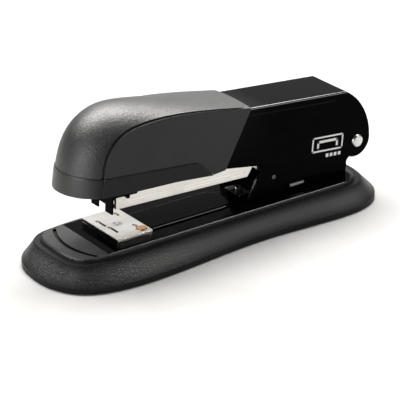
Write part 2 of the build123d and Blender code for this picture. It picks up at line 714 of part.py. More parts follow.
# ---------------------------------------------------------------- arm
with BuildPart() as arm:
    # rear length, in full view
    with BuildSketch(Plane.YZ):
        with BuildLine():
            lower = Polyline((13.75, 52.15), (1.15, 29.55), (64.2, 19.2))
            heel = ThreePointArc(lower @ 1, (71.6, 19.6), (74.9, 26.5))
            back = ThreePointArc(heel @ 1, (71.6, 38.4), (62.1, 48.05))
            Line(back @ 1, lower @ 0)
        make_face()
    extrude(amount=ARM_HALF, both=True)
    fillet(arm.faces().sort_by(Axis.Z)[-1].edges().filter_by(lambda e: e.length > 30), 1.1)
    with BuildSketch(Plane.YZ):
        with BuildLine():
            Polyline(
                (-10, 10),
                (90, 10),
                (90, 44.35),
                (61.75, 46.8),
                (10.0, 51.28),
                (-10, 51.28),
                close=True,
            )
        make_face()
    extrude(amount=ARM_HALF - SHEET, both=True, mode=Mode.SUBTRACT)
    # front length, joggled in under the grip
    with BuildSketch(DRIVE):
        with BuildLine():
            Polyline(
                (ARM_FRONT_U, 6.0),
                (ARM_FRONT_U, ROOF_W),
                (-53.0, ROOF_W),
                (-61.5, 2.0),
                (-72.0, 2.0),
                close=True,
            )
        make_face()
    extrude(amount=ARM_FRONT_HALF, both=True)
    front_inside = box_profile(DRIVE, -130, -56.0, -20, ROOF_W - SHEET)
    extrude(front_inside, amount=ARM_FRONT_HALF - SHEET, both=True, mode=Mode.SUBTRACT)
    with BuildSketch(DRIVE):
        with BuildLine():
            Polyline(
                (-60.0, -20),
                (-60.0, ROOF_W - SHEET),
                (-50.0, ROOF_W - SHEET),
                (-50.0, -20),
                close=True,
            )
        make_face()
    extrude(amount=ARM_FRONT_HALF - SHEET, both=True, mode=Mode.SUBTRACT)
    with BuildSketch(Plane.YZ):
        with Locations((PIVOT_Y, PIVOT_Z)):
            Circle(BORE_R)
    extrude(amount=20, both=True, mode=Mode.SUBTRACT)
    # shallow line pressed along each side, below the roof's bend
    for side in (-1, 1):
        with BuildSketch(Plane.YZ.offset(side * ARM_HALF)):
            with BuildLine():
                Polyline((12.0, 49.8), (57.5, 45.9), (57.5, 45.0), (12.0, 48.9), close=True)
            make_face()
        extrude(amount=-side * 0.35, taper=45, mode=Mode.SUBTRACT)

# ---------------------------------------------------------------- driver_leaf
leaf_top = ROOF_W - SHEET
with BuildPart() as driver_leaf:
    leaf_block = box_profile(DRIVE, -116.6, -86.0, leaf_top - 0.8, leaf_top)
    extrude(leaf_block, amount=6.0, both=True)
    for u in LEAF_RIVET_U:
        with BuildSketch(facing_up(DRIVE, u, leaf_top - 3)):
            Circle(SMALL_RIVET_R)
        extrude(amount=6, mode=Mode.SUBTRACT)

# ---------------------------------------------------------------- driver_blade
blade_u = -115.72
blade = 0.45
with BuildPart() as driver_blade:
    blade_block = box_profile(DRIVE, blade_u - blade / 2, blade_u + blade / 2, -2.55, leaf_top - 0.8)
    extrude(blade_block, amount=6.2, both=True)
    with BuildSketch(facing_front(DRIVE, blade_u + 2, -2.55)):
        with Locations((-6.2, 0), (6.2, 0)):
            Rectangle(0.8, 5)
    extrude(amount=5, mode=Mode.SUBTRACT)

# ---------------------------------------------------------------- arm holes for fasteners
grip_screw_y = (-14.0, 1.0)
grip_screw_u = [DRIVE.to_local_coords(Vector(0, y, PIVOT_Z)).X for y in grip_screw_y]
with BuildPart() as drilled_arm:
    add(arm.part)
    for u in (*LEAF_RIVET_U, *grip_screw_u):
        with BuildSketch(facing_up(DRIVE, u, leaf_top - 1)):
            Circle(SMALL_RIVET_R)
        extrude(amount=3, mode=Mode.SUBTRACT)

# ---------------------------------------------------------------- leaf_rivets
with BuildPart() as leaf_rivets:
    for u in LEAF_RIVET_U:
        for low, high, radius in (
            (leaf_top - 0.8, ROOF_W, SMALL_RIVET_R),
            (ROOF_W, ROOF_W + 0.8, SMALL_HEAD_R),
            (leaf_top - 1.6, leaf_top - 0.8, SMALL_HEAD_R),
        ):
            with BuildSketch(facing_up(DRIVE, u, low)):
                Circle(radius)
            extrude(amount=high - low)

# ---------------------------------------------------------------- grip bodies
with BuildLine(Plane.YZ) as crease:
    Spline(*CREASE)


def crown_height(along):
    """How far the wrapped surface stands out from the crease, along its length from 0 to 1."""
    nose_share = 1 / (1 + exp(CROWN_RATE * (along - CROWN_EASE)))
    return REAR_CROWN + (NOSE_CROWN - REAR_CROWN) * nose_share


def grip_plan(inset):
    """Plan that trims the flat sides, wider at the nose."""
    slope = (GRIP_NOSE_HALF - GRIP_REAR_HALF) / (GRIP_REAR_Y - GRIP_NOSE_Y)
    half_front = GRIP_REAR_HALF + slope * (GRIP_REAR_Y + 80) - inset
    half_rear = GRIP_REAR_HALF + slope * (GRIP_REAR_Y - 30) - inset
    with BuildSketch(Plane.XY) as plan:
        with BuildLine():
            Polyline(
                (-half_front, -80),
                (half_front, -80),
                (half_rear, 30),
                (-half_rear, 30),
                close=True,
            )
        make_face()
    return plan.sketch


def grip_solid(inset):
    """The grip's outer shape moved in by inset: flat sides, wrapped nose and crowned top."""
    slope = (GRIP_NOSE_HALF - GRIP_REAR_HALF) / (GRIP_REAR_Y - GRIP_NOSE_Y)
    sections = []
    edge_points = []
    for station in range(GRIP_STATIONS + 1):
        along = station / GRIP_STATIONS
        place = crease.line @ along
        forward = -(crease.line % along)
        outward = forward.cross(Vector(1, 0, 0))
        plane = Plane(origin=place - outward * inset, x_dir=(1, 0, 0), z_dir=forward)
        half = GRIP_REAR_HALF + slope * (GRIP_REAR_Y - place.Y) - inset + 0.04
        crown = crown_height(along)
        edge_points.append((plane.origin.Y, plane.origin.Z))
        with BuildSketch(plane) as section:
            with BuildLine():
                ThreePointArc((-half, 0), (0, crown), (half, 0))
                Polyline((half, 0), (half, -6), (-half, -6), (-half, 0))
            make_face()
        sections.append(section.sketch)
    with BuildPart() as body:
        loft(sections, ruled=True)
        with BuildSketch(Plane.YZ):
            with BuildLine():
                roof = Polyline(*edge_points)
                Polyline(roof @ 1, (edge_points[-1][0], 20), (edge_points[0][0], 20), roof @ 0)
            make_face()
            offset(amount=-0.6, kind=Kind.INTERSECTION)
        extrude(amount=20, both=True)
        extrude(grip_plan(inset), amount=100, mode=Mode.INTERSECT)
    return body.part


outer_grip = grip_solid(0)
inner_grip = grip_solid(GRIP_WALL)
outer_band = grip_solid(-BAND_PROUD)


def band_region():
    """Side view of the lower band: below the seam and above its own lower edge."""
    with BuildSketch(Plane.YZ) as region:
        with BuildLine():
            Polyline(
                (-80.0, 43.1),
                (-9.6, 35.9),
                (-4.6, 29.0),
                (-22.0, 30.9),
                (-47.0, 32.3),
                (-60.0, 33.6),
                (-80.0, 36.5),
                close=True,
            )
        make_face()
        fillet(region.vertices().sort_by_distance((-9.6, 35.9, 0))[0], 4)
    return region.sketch


with BuildPart() as grip_band:
    add(outer_band)
    extrude(band_region(), amount=30, both=True, mode=Mode.INTERSECT)
    add(inner_grip, mode=Mode.SUBTRACT)

# ---------------------------------------------------------------- grip_cap
# screw bosses, from the arm's roof up to the inside of the grip
with BuildPart() as bosses:
    for u in grip_screw_u:
        with BuildSketch(facing_up(DRIVE, u, ROOF_W)):
            Circle(SMALL_RIVET_R + 1.6)
            Circle(SMALL_RIVET_R, mode=Mode.SUBTRACT)
        extrude(amount=12)
    add(grip_solid(GRIP_WALL - 0.3), mode=Mode.INTERSECT)

with BuildPart() as grip_cap:
    add(outer_grip)
    with BuildSketch(Plane.YZ):
        with BuildLine():
            Polyline(
                (-80.0, 40.0),
                (-46.0, 36.0),
                (-12.0, 33.0),
                (-5.2, 29.1),
                (1.0, 29.5),
                (GRIP_REAR_Y, 52.0),
                (GRIP_REAR_Y, 70.0),
                (-80.0, 70.0),
                close=True,
            )
        make_face()
    extrude(amount=30, both=True, mode=Mode.INTERSECT)
    add(inner_grip, mode=Mode.SUBTRACT)
    extrude(band_region(), amount=30, both=True, mode=Mode.SUBTRACT)
    add(bosses.part)

# ---------------------------------------------------------------- grip_screws
with BuildPart() as grip_screws:
    for u in grip_screw_u:
        with BuildSketch(facing_up(DRIVE, u, leaf_top - 1.6)):
            Circle(SMALL_HEAD_R + 0.4)
        extrude(amount=1.6)
        with BuildSketch(facing_up(DRIVE, u, leaf_top)):
            Circle(SMALL_RIVET_R)
        extrude(amount=4.4)

# ---------------------------------------------------------------- write each piece
pieces = {
    "base_shoe": base_shoe,
    "foot_pads": foot_pads,
    "base_plate": base_plate,
    "shoe_screws": shoe_screws,
    "hinge_bracket": hinge_bracket,
    "bracket_rivets": bracket_rivets,
    "tie_strip": tie_strip,
    "return_spring": return_spring,
    "stop_pin": stop_pin,
    "pivot_rivet": pivot_rivet,
    "pivot_washers": pivot_washers,
    "anvil_seat": anvil_seat,
    "anvil_plate": anvil_plate,
    "index_rivet": index_rivet,
    "anvil_stud": anvil_stud,
    "anvil_button": anvil_button,
    "anvil_spring": anvil_spring,
    "magazine": magazine,
    "magazine_roller": magazine_roller,
    "nose_plate": nose_plate,
    "staple_rail": staple_rail,
    "staple_strip": staple_strip,
    "pusher": pusher,
    "pusher_rod": pusher_rod,
    "rod_anchor": rod_anchor,
    "pusher_spring": pusher_spring,
    "arm_spring": arm_spring,
    "arm": drilled_arm,
    "driver_leaf": driver_leaf,
    "driver_blade": driver_blade,
    "leaf_rivets": leaf_rivets,
    "grip_cap": grip_cap,
    "grip_band": grip_band,
    "grip_screws": grip_screws,
}
for label, piece in pieces.items():
    piece.part.label = label
    export_step(piece.part, f"parts/{label}.step")
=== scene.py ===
import json
import math

import bmesh
import bpy
import numpy as np
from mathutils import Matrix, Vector


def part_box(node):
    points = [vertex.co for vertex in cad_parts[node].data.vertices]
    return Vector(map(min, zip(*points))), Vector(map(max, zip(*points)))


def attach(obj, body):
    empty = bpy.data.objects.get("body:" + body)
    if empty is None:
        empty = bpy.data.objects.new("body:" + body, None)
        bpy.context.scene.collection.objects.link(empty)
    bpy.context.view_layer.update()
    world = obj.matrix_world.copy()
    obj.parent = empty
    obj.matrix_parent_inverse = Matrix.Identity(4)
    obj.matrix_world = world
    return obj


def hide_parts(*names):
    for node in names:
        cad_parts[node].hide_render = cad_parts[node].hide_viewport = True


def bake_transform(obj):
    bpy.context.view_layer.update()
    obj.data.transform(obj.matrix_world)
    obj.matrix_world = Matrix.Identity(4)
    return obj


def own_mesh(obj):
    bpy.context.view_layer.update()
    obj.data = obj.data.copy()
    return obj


# Desk stapler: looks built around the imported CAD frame. Nose at -Y, Z up.
# Pieces are drawn in millimetres and scaled by MM; materials, lights and the camera are in metres.
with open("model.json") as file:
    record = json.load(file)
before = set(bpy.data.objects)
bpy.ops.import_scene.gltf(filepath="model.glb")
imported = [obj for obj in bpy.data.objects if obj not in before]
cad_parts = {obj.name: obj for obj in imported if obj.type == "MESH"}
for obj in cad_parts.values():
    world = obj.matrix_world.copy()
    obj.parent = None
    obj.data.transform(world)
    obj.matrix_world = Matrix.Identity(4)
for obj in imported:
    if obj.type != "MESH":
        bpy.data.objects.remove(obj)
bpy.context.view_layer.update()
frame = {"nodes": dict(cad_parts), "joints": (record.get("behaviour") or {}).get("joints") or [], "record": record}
MM = 0.001


# ------------------------------------------------------------------ materials
def new_material(name, roughness, metallic=0.0):
    """A material with its node tree, shader and shared object coordinates."""
    made = bpy.data.materials.new(name)
    made.use_nodes = True
    nodes = made.node_tree.nodes
    shader = nodes["Principled BSDF"]
    shader.inputs["Roughness"].default_value = roughness
    shader.inputs["Metallic"].default_value = metallic
    coords = nodes.new("ShaderNodeTexCoord")
    return made, made.node_tree, shader, coords


def stretched(tree, coords, scale):
    """Object coordinates scaled differently along each axis."""
    mapping = tree.nodes.new("ShaderNodeMapping")
    mapping.inputs["Scale"].default_value = scale
    tree.links.new(coords.outputs["Object"], mapping.inputs["Vector"])
    return mapping.outputs["Vector"]


def noise(tree, vector, scale, detail=3.0, rough=0.55):
    """Noise texture read at the given coordinates."""
    texture = tree.nodes.new("ShaderNodeTexNoise")
    texture.inputs["Scale"].default_value = scale
    texture.inputs["Detail"].default_value = detail
    texture.inputs["Roughness"].default_value = rough
    tree.links.new(vector, texture.inputs["Vector"])
    return texture.outputs["Fac"]


def spread(tree, value, low, high, at_low, at_high):
    """Maps value from low..high to at_low..at_high, clamped."""
    ranged = tree.nodes.new("ShaderNodeMapRange")
    ranged.inputs["From Min"].default_value = low
    ranged.inputs["From Max"].default_value = high
    ranged.inputs["To Min"].default_value = at_low
    ranged.inputs["To Max"].default_value = at_high
    tree.links.new(value, ranged.inputs["Value"])
    return ranged.outputs["Result"]


def two_tone(tree, value, dark, light, low=0.35, high=0.65):
    """A colour that runs from dark to light as value rises."""
    ramp = tree.nodes.new("ShaderNodeValToRGB")
    ramp.color_ramp.elements[0].position = low
    ramp.color_ramp.elements[1].position = high
    ramp.color_ramp.elements[0].color = (*dark, 1)
    ramp.color_ramp.elements[1].color = (*light, 1)
    tree.links.new(value, ramp.inputs["Fac"])
    return ramp.outputs["Color"]


def along_axis(tree, coords, axis):
    """One coordinate of the object, in metres."""
    split = tree.nodes.new("ShaderNodeSeparateXYZ")
    tree.links.new(coords.outputs["Object"], split.inputs["Vector"])
    return split.outputs[axis]


def combine(tree, operation, first, second):
    """Arithmetic on two values; either may be a plain number."""
    made = tree.nodes.new("ShaderNodeMath")
    made.operation = operation
    for socket, value in zip(made.inputs, (first, second)):
        if isinstance(value, (int, float)):
            socket.default_value = value
        else:
            tree.links.new(value, socket)
    return made.outputs["Value"]


def bump(tree, shader, height, strength, distance):
    """Bump from a height, on the shader's normal."""
    made = tree.nodes.new("ShaderNodeBump")
    made.inputs["Strength"].default_value = strength
    made.inputs["Distance"].default_value = distance
    tree.links.new(height, made.inputs["Height"])
    tree.links.new(made.outputs["Normal"], shader.inputs["Normal"])


def moulded(name, dark, light, roughness, grain, depth, specular=0.5):
    """Moulded plastic with a fine eroded texture and a little uneven wear."""
    made, tree, shader, coords = new_material(name, roughness)
    object_coords = coords.outputs["Object"]
    shader.inputs["Specular IOR Level"].default_value = specular
    patches = noise(tree, object_coords, 45, 4)
    fine = noise(tree, object_coords, grain, 2, 0.7)
    fine_share = spread(tree, fine, 0, 1, 0, 0.6)
    patch_share = spread(tree, patches, 0, 1, 0, 0.4)
    speckle = combine(tree, "ADD", fine_share, patch_share)
    tree.links.new(two_tone(tree, speckle, dark, light), shader.inputs["Base Color"])
    rough = spread(tree, fine, 0.3, 0.7, roughness - 0.08, roughness + 0.10)
    tree.links.new(rough, shader.inputs["Roughness"])
    bump(tree, shader, fine, 0.8, depth)
    return made


SKIRT_FOOT = (0.0022, 0.0052)    # heights between which the skirt's reflection rises out of the painted shade at its foot
UNDER_RIM = (0.0070, 0.0093)     # and between which it sinks into painted shade again below the rim
RIM_DROP = (0.0006, 0.0001)      # depths below the rim's top between which the plateau regains its reflection, out of the groove's painted shade


def moulded_skirt_painted_shade(name, dark, light, roughness, grain, depth, specular):
    """Moulded plastic with painted shade: its reflection is turned down at the skirt's foot, just under the rim
    and in the groove.
    """
    made = moulded(name, dark, light, roughness, grain, depth, specular)
    tree = made.node_tree
    coords = tree.nodes.new("ShaderNodeTexCoord")
    height = along_axis(tree, coords, "Z")
    rim_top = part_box("base_shoe")[1][2]
    # painted shade: less reflection at the skirt's foot, under the rim and in the groove
    above_lip = spread(tree, height, *SKIRT_FOOT, 0.12, specular)
    under_rim_painted_shade = spread(tree, height, *UNDER_RIM, 0.0, specular * 0.85)
    plateau_edge = [rim_top - drop for drop in RIM_DROP]
    on_plateau = spread(tree, height, *plateau_edge, 0.0, specular * 0.4)
    painted_shade_level = combine(tree, "SUBTRACT", above_lip, under_rim_painted_shade)
    level = combine(tree, "ADD", painted_shade_level, on_plateau)
    tree.links.new(level, tree.nodes["Principled BSDF"].inputs["Specular IOR Level"])
    return made


SIDEWAYS = (0.80, 0.97)          # how far sideways the surface faces as the crown gives way to the side's painted shade


def moulded_grip_painted_side_shade(name, dark, light, roughness, grain, depth, on_crown, on_side):
    """Moulded plastic whose upright side panels are painted darker than its crown: painted shade on the sides,
    which reflect less.
    """
    made = moulded(name, dark, light, roughness, grain, depth)
    tree = made.node_tree
    coords = tree.nodes.new("ShaderNodeTexCoord")
    facing = tree.nodes.new("ShaderNodeSeparateXYZ")
    tree.links.new(coords.outputs["Normal"], facing.inputs["Vector"])
    sideways = combine(tree, "ABSOLUTE", facing.outputs["X"], 0)
    # painted shade: the side panels reflect less than the crown
    level = spread(tree, sideways, *SIDEWAYS, on_crown, on_side)
    tree.links.new(level, tree.nodes["Principled BSDF"].inputs["Specular IOR Level"])
    return made


BEND_FACING = (0.15, 0.4)        # how far up the surface faces where the painted highlight on a bend starts
ROOF_FACING = (0.93, 0.985)      # and where it flattens into a roof and the painted highlight ends
SHEEN_AT = (0.004, 0.024)         # along the arm, from the grip's edge to where the painted sheen ends
SHEEN_ABOVE = (0.030, 0.048)


def enamel(name, dark, light, roughness):
    """Stoved gloss enamel on sheet steel: slight orange peel and faint rub marks, with a painted highlight on its
    bends and painted shade on its flat sides and roof.

    It has a painted sheen high up beside the grip.
    """
    made, tree, shader, coords = new_material(name, roughness)
    object_coords = coords.outputs["Object"]
    facing = tree.nodes.new("ShaderNodeSeparateXYZ")
    tree.links.new(coords.outputs["Normal"], facing.inputs["Vector"])
    # painted highlight on the bends; painted shade on the sides and roof, which keep almost no reflection
    bend = spread(tree, facing.outputs["Z"], *BEND_FACING, 0.01, 1.0)
    flat = spread(tree, facing.outputs["Z"], *ROOF_FACING, 0.0, 0.99)
    # painted sheen high up beside the grip
    beside_grip = spread(tree, along_axis(tree, coords, "Y"), *SHEEN_AT, 0.03, 0.0)
    high_up = spread(tree, along_axis(tree, coords, "Z"), *SHEEN_ABOVE, 0.0, 1.0)
    painted_sheen = combine(tree, "MULTIPLY", beside_grip, high_up)
    painted_bend_highlight = combine(tree, "SUBTRACT", bend, flat)
    tree.links.new(combine(tree, "ADD", painted_bend_highlight, painted_sheen), shader.inputs["Specular IOR Level"])
    peel = noise(tree, object_coords, 420, 1, 0.4)
    rubs = noise(tree, stretched(tree, coords, (900, 120, 900)), 1, 5, 0.7)
    tree.links.new(two_tone(tree, rubs, dark, light), shader.inputs["Base Color"])
    rough = spread(tree, rubs, 0.35, 0.75, roughness, roughness + 0.10)
    tree.links.new(rough, shader.inputs["Roughness"])
    bump(tree, shader, peel, 0.18, 0.00005)
    return made


def plated(name, dark, light, roughness, along=(2600, 60, 2600), depth=0.000012):
    """Plated steel with drawing marks along one axis and light wear."""
    made, tree, shader, coords = new_material(name, roughness, 1.0)
    marks = noise(tree, stretched(tree, coords, along), 1, 4, 0.6)
    smudge = noise(tree, coords.outputs["Object"], 90, 3, 0.5)
    tree.links.new(two_tone(tree, smudge, dark, light, 0.3, 0.6), shader.inputs["Base Color"])
    rough = spread(tree, marks, 0.3, 0.7, roughness - 0.06, roughness + 0.10)
    tree.links.new(rough, shader.inputs["Roughness"])
    bump(tree, shader, marks, 0.35, depth)
    return made


# colour of the dark and the light patches, roughness, then what the finish's function takes
FINISHES = {
    "shoe_plastic": (
        moulded_skirt_painted_shade, (0.002, 0.002, 0.0023), (0.019, 0.019, 0.0195), 0.40, 1300, 0.00030, 0.75
    ),
    "pad_rubber": (moulded, (0.010, 0.010, 0.010), (0.018, 0.018, 0.018), 0.8, 1200, 0.00005),
    "black_enamel": (enamel, (0.0015, 0.0015, 0.002), (0.003, 0.003, 0.0035), 0.10),
    "bright_nickel": (plated, (0.66, 0.63, 0.59), (0.74, 0.72, 0.69), 0.17),
    "zinc_steel": (plated, (0.50, 0.50, 0.50), (0.68, 0.68, 0.67), 0.30, (300, 300, 300)),
    "spring_steel": (plated, (0.30, 0.30, 0.31), (0.50, 0.50, 0.51), 0.26, (1500, 1500, 200)),
    "staple_wire": (plated, (0.58, 0.58, 0.58), (0.74, 0.74, 0.73), 0.24),
    "blued_steel": (plated, (0.06, 0.06, 0.065), (0.11, 0.11, 0.115), 0.34, (300, 300, 300)),
    "warm_brass": (plated, (0.55, 0.27, 0.13), (0.78, 0.45, 0.26), 0.26, (300, 300, 300)),
    "pusher_plastic": (moulded, (0.030, 0.030, 0.032), (0.045, 0.045, 0.047), 0.4, 1500, 0.00004),
    "button_plastic": (moulded, (0.014, 0.014, 0.015), (0.022, 0.022, 0.023), 0.4, 1500, 0.00004),
    "grip_plastic": (
        moulded_grip_painted_side_shade, (0.010, 0.010, 0.0105), (0.022, 0.022, 0.023), 0.43, 1500, 0.00021, 1.0, 0.32,
    ),
    "white_ink": (moulded, (0.80, 0.80, 0.79), (0.90, 0.90, 0.89), 0.45, 1500, 0.00001),
    "band_plastic": (
        moulded_grip_painted_side_shade, (0.010, 0.010, 0.0105), (0.016, 0.016, 0.0165), 0.40, 2000, 0.00003, 0.8, 0.15,
    ),
}
MATERIALS = {name: make(name, *values) for name, (make, *values) in FINISHES.items()}

for subpart in frame["record"]["subparts"]:
    node = frame["nodes"][subpart["node"]]
    node.data.materials.clear()
    node.data.materials.append(MATERIALS[subpart["material_slot"]])


# ------------------------------------------------------------------ mesh helpers
WELD = 0.002            # millimetres within which two points become one
WALL_EDGE_ANGLE = 50    # degrees from which an edge of a wall is rounded
QUARTER_POINTS, QUARTER_STEP = 5, 22.5    # points round a quarter turn, and the degrees between them


def piece(name, points, faces, slot_name, body, smooth_below=35):
    """A new object from points in millimetres, riding on body; edges sharper than smooth_below stay crisp."""
    mesh = bpy.data.meshes.new(name)
    mesh.from_pydata([(x * MM, y * MM, z * MM) for x, y, z in points], [], faces)
    made = bpy.data.objects.new(name, mesh)
    bpy.context.collection.objects.link(made)
    tidy = bmesh.new()
    tidy.from_mesh(mesh)
    bmesh.ops.remove_doubles(tidy, verts=tidy.verts, dist=WELD * MM)
    bmesh.ops.recalc_face_normals(tidy, faces=tidy.faces)
    tidy.to_mesh(mesh)
    tidy.free()
    mesh.shade_smooth()
    mesh.set_sharp_from_angle(angle=math.radians(smooth_below))
    mesh.materials.append(MATERIALS[slot_name])
    if body:
        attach(made, body)
    return made


def grid_faces(rows, columns, first=0, closed=False):
    """Quads over a grid of points stored row by row; closed joins the last column to the first."""
    faces = []
    for row in range(rows - 1):
        for column in range(columns if closed else columns - 1):
            beside = (column + 1) % columns
            corner = first + row * columns
            above = corner + columns
            faces.append((corner + column, corner + beside, above + beside, above + column))
    return faces


def thicken(made, thickness, rounding=0.0):
    """Gives an open skin its wall thickness, inwards, and rounds the edges of the wall."""
    wall = made.modifiers.new("wall", "SOLIDIFY")
    wall.thickness = thickness * MM
    wall.offset = -1
    wall.use_even_offset = True
    if rounding:
        edges = made.modifiers.new("edges", "BEVEL")
        edges.width = rounding * MM
        edges.segments = 3
        edges.limit_method = "ANGLE"
        edges.angle_limit = math.radians(WALL_EDGE_ANGLE)


def tube(path, radius, sides=10):
    """Points and faces of a round wire along path, with closed ends."""
    places = [Vector(p) for p in path]
    count = len(places)
    directions = []
    for i in range(count):
        directions.append((places[min(i + 1, count - 1)] - places[max(i - 1, 0)]).normalized())
    normal = directions[0].orthogonal().normalized()
    points = []
    for place, direction in zip(places, directions):
        normal = (normal - direction * normal.dot(direction)).normalized()
        side = direction.cross(normal)
        for k in range(sides):
            turn = 2 * math.pi * k / sides
            points.append(place + (normal * math.cos(turn) + side * math.sin(turn)) * radius)
    faces = grid_faces(count, sides, closed=True)
    faces.append(tuple(range(sides))[::-1])
    faces.append(tuple(range((count - 1) * sides, count * sides)))
    return points, faces


def natural_spline(knots):
    """The natural cubic through knots, by chord length, as a function of 0..1: place and direction."""
    places = np.array(knots, float)
    steps = np.linalg.norm(np.diff(places, axis=0), axis=1)
    marks = np.concatenate([[0], np.cumsum(steps)])
    count = len(places)
    system = np.eye(count)
    right_side = np.zeros_like(places)
    for i in range(1, count - 1):
        system[i, i - 1:i + 2] = steps[i - 1], 2 * (steps[i - 1] + steps[i]), steps[i]
        slope_after = (places[i + 1] - places[i]) / steps[i]
        slope_before = (places[i] - places[i - 1]) / steps[i - 1]
        right_side[i] = 6 * (slope_after - slope_before)
    second = np.linalg.solve(system, right_side)

    def read(along):
        mark = along * marks[-1]
        i = int(min(max(np.searchsorted(marks, mark) - 1, 0), count - 2))
        a = (marks[i + 1] - mark) / steps[i]
        b = 1 - a
        curve_a = (a ** 3 - a) * steps[i] ** 2 / 6
        curve_b = (b ** 3 - b) * steps[i] ** 2 / 6
        place = a * places[i] + b * places[i + 1] + curve_a * second[i] + curve_b * second[i + 1]
        direction = (places[i + 1] - places[i]) / steps[i]
        direction = direction - (3 * a * a - 1) * steps[i] / 6 * second[i]
        direction = direction + (3 * b * b - 1) * steps[i] / 6 * second[i + 1]
        return place, direction / np.linalg.norm(direction)

    return read


# ------------------------------------------------------------------ grip: cap and band
# side view (y, z) of the crease between the flat sides and the wrapped surface, from nose to rear
CREASE = (
    (-57.3, 31.0), (-56.2, 41.8), (-53.1, 51.2), (-46.5, 56.4), (-39.0, 58.0), (-14.0, 57.2), (13.6, 52.5),
)
GRIP_NOSE_Y, GRIP_REAR_Y = -57.3, 13.6
GRIP_NOSE_HALF, GRIP_REAR_HALF = 13.5, 12.0
NOSE_CROWN, REAR_CROWN, CROWN_EASE, CROWN_RATE = 11.8, 0.4, 0.42, 7.5
GRIP_WALL, CAP_EDGE_R, BAND_EDGE_R = 1.4, 0.18, 0.2
GROOVE_WIDTH, GROOVE_DEPTH = 1.2, 0.85
GROOVE_IN, GROOVE_DOWN = 0.8, 0.6    # how the groove's depth is shared between sideways and down
GROOVE_FADE = 12                     # it fades out over the last 1 / GROOVE_FADE of the cap
BAND_PROUD = 0.35
BAND_GROOVE = 0.7
# the seam between cap and band: a straight line, a round corner, then a slope down to the band's tail
SEAM_FROM_Y, SEAM_FROM_Z, SEAM_FALL = -80, 43.1, 0.1023
CORNER_Y, CORNER_R = -14.2, 4.0
CORNER_FROM, CORNER_STEP, CORNER_POINTS = 76, 8, 6
CORNER_GAP = 0.02
SLOPE_TOP_Y, SLOPE_TOP_Z, SLOPE_FALL = -9.0, 33.0, 0.98
CAP_TAIL = ((-4.7, 29.1), (1.0, 29.5))
BAND_TAIL_Y = -4.9
BAND_FOOT_Y = (-60, -47, -22, -4.6)
BAND_FOOT_Z = (33.6, 32.3, 30.9, 29.0)
BAND_NOSE_FOOT_Z = 33.3
NOSE_SEAM_Y = -56.3
ARC_POINTS = 41
NOSE_END, HALVINGS = 0.35, 40    # the crease's nose is its first NOSE_END
crease = natural_spline(CREASE)


def crown_height(along):
    """How far the wrapped surface stands out from the crease, 0 at the nose's foot to 1 at the rear."""
    nose_share = 1 / (1 + math.exp(CROWN_RATE * (along - CROWN_EASE)))
    return REAR_CROWN + (NOSE_CROWN - REAR_CROWN) * nose_share


def half_width(y):
    """Half the grip's width at y, wider towards the nose."""
    share = (GRIP_REAR_Y - y) / (GRIP_REAR_Y - GRIP_NOSE_Y)
    return GRIP_REAR_HALF + (GRIP_NOSE_HALF - GRIP_REAR_HALF) * share


def along_at_height(z):
    """Where on the crease's nose it passes height z, by halving."""
    low, high = 0.0, NOSE_END
    for _ in range(HALVINGS):
        middle = (low + high) / 2
        if crease(middle)[0][1] < z:
            low = middle
        else:
            high = middle
    return low


def wrapped_arc(along, count, proud=0.0, trim=0.0):
    """Points across the wrapped surface at one station, from the right edge to the left.

    trim is how far along the arc it stops short of each edge.
    """
    (y, z), (dy, dz) = crease(along)
    half = half_width(y) + proud
    crown = crown_height(along) + proud
    radius = (half * half + crown * crown) / (2 * crown)
    widest = math.asin(min(1.0, half / radius))
    if crown > half:
        widest = math.pi - widest
    widest -= trim / radius
    row = []
    for k in range(count):
        turn = widest * (1 - 2 * k / (count - 1))
        out = radius * math.cos(turn) - (radius - crown)
        row.append((radius * math.sin(turn), y - dz * out, z + dy * out))
    return row


def seam_height(y):
    """Height of the seam between cap and band."""
    return SEAM_FROM_Z - SEAM_FALL * (y - SEAM_FROM_Y)


seam_along = along_at_height(seam_height(NOSE_SEAM_Y))
foot_along = along_at_height(BAND_NOSE_FOOT_Z)
corner_z = seam_height(CORNER_Y) - CORNER_R


def cap_lower_edge():
    """Side view of the cap's lower edge, from the nose along the seam, down and back."""
    (y0, z0), _ = crease(seam_along)
    points = [(y0, z0), (CORNER_Y, seam_height(CORNER_Y))]
    for step in range(CORNER_POINTS):
        turn = math.radians(CORNER_FROM - step * CORNER_STEP)
        points.append((CORNER_Y + CORNER_R * math.cos(turn), corner_z + CORNER_R * math.sin(turn)))
    points += CAP_TAIL
    return points


def read_polyline(points, share):
    """The place at a share of the length along a polyline."""
    lengths = [math.dist(a, b) for a, b in zip(points, points[1:])]
    left = share * sum(lengths)
    for (a, b), length in zip(zip(points, points[1:]), lengths):
        if left <= length:
            part = left / length
            return a[0] + (b[0] - a[0]) * part, a[1] + (b[1] - a[1]) * part
        left -= length
    return points[-1]


def groove_floor(side_edge, wrapped_edge, direction, depth):
    """The bottom of the V groove between the flat side and the wrapped surface."""
    (x0, y0, z0), (x1, y1, z1) = side_edge, wrapped_edge
    dy, dz = direction
    down = depth * GROOVE_DOWN
    return (x0 + x1) / 2 - depth * GROOVE_IN, (y0 + y1) / 2 + dz * down, (z0 + z1) / 2 - dy * down


